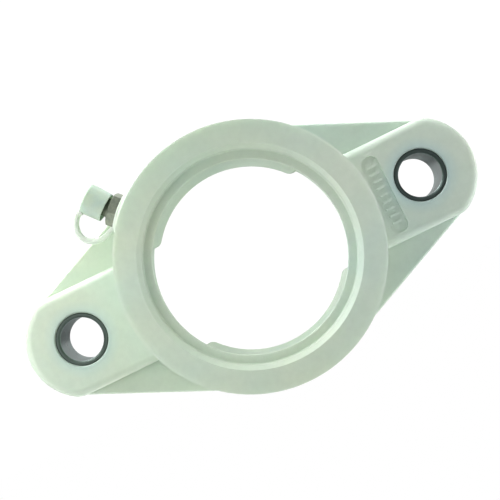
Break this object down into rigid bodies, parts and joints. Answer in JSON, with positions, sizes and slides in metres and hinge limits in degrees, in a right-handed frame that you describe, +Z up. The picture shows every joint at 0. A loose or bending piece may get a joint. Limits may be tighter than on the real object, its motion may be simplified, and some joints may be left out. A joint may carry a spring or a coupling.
{
  "type": "two-bolt flange bearing housing",
  "caption": "Rhombus flange housing of moulded ivory thermoplastic for a spherical insert bearing, with steel bolt sleeves and a capped grease nipple; the bore is empty.",
  "frame": {"origin": "on the bore axis in the plane of the mounting face, midway between the two bolt holes", "axes": "+X along the line of the two bolt holes, +Z up, +Y out of the mounting face into the wall it is bolted to; the front rim and the shaft end face -Y"},
  "size_m": [0.1302, 0.027, 0.071],
  "materials": {
    "ivory_housing_plastic": "moulded satin thermoplastic, slightly translucent ivory",
    "stainless_sleeve": "turned stainless steel",
    "brass_insert": "knurled brass",
    "nipple_metal": "dull yellowed plating",
    "ball_steel": "polished",
    "spring_steel": "drawn wire",
    "soft_cap_plastic": "soft matt polyethylene"
  },
  "bodies": {
    "housing_assembly": {"housing": "ivory_housing_plastic", "bolt_sleeve_left": "stainless_sleeve", "bolt_sleeve_right": "stainless_sleeve", "nipple_thread_insert": "brass_insert", "grease_nipple_body": "nipple_metal", "check_spring": "spring_steel"},
    "check_ball": {"check_ball": "ball_steel"},
    "ring_and_strap": {"strap_ring": "soft_cap_plastic", "cap_strap": "soft_cap_plastic"},
    "dust_cap": {"dust_cap": "soft_cap_plastic"}
  },
  "joints": [
    {"name": "check_ball_lift", "type": "slide", "parent": "housing_assembly", "child": "check_ball", "axis": [0.7071, 0, -0.7071], "range_m": [0, 0.0008], "stiffness_N_per_m": 300, "springref_m": -0.002, "deforming": ["check_spring"]},
    {"name": "strap_swivel", "type": "hinge", "parent": "housing_assembly", "child": "ring_and_strap", "pos_m": [-0.02557, -0.016, 0.02557], "axis": [-0.7071, 0, 0.7071], "range_deg": [-25, 180]},
    {"name": "cap_pull", "type": "slide", "parent": "ring_and_strap", "child": "dust_cap", "axis": [-0.6157, 0, 0.788], "range_m": [0, 0.007], "deforming": ["cap_strap"]}
  ]
}
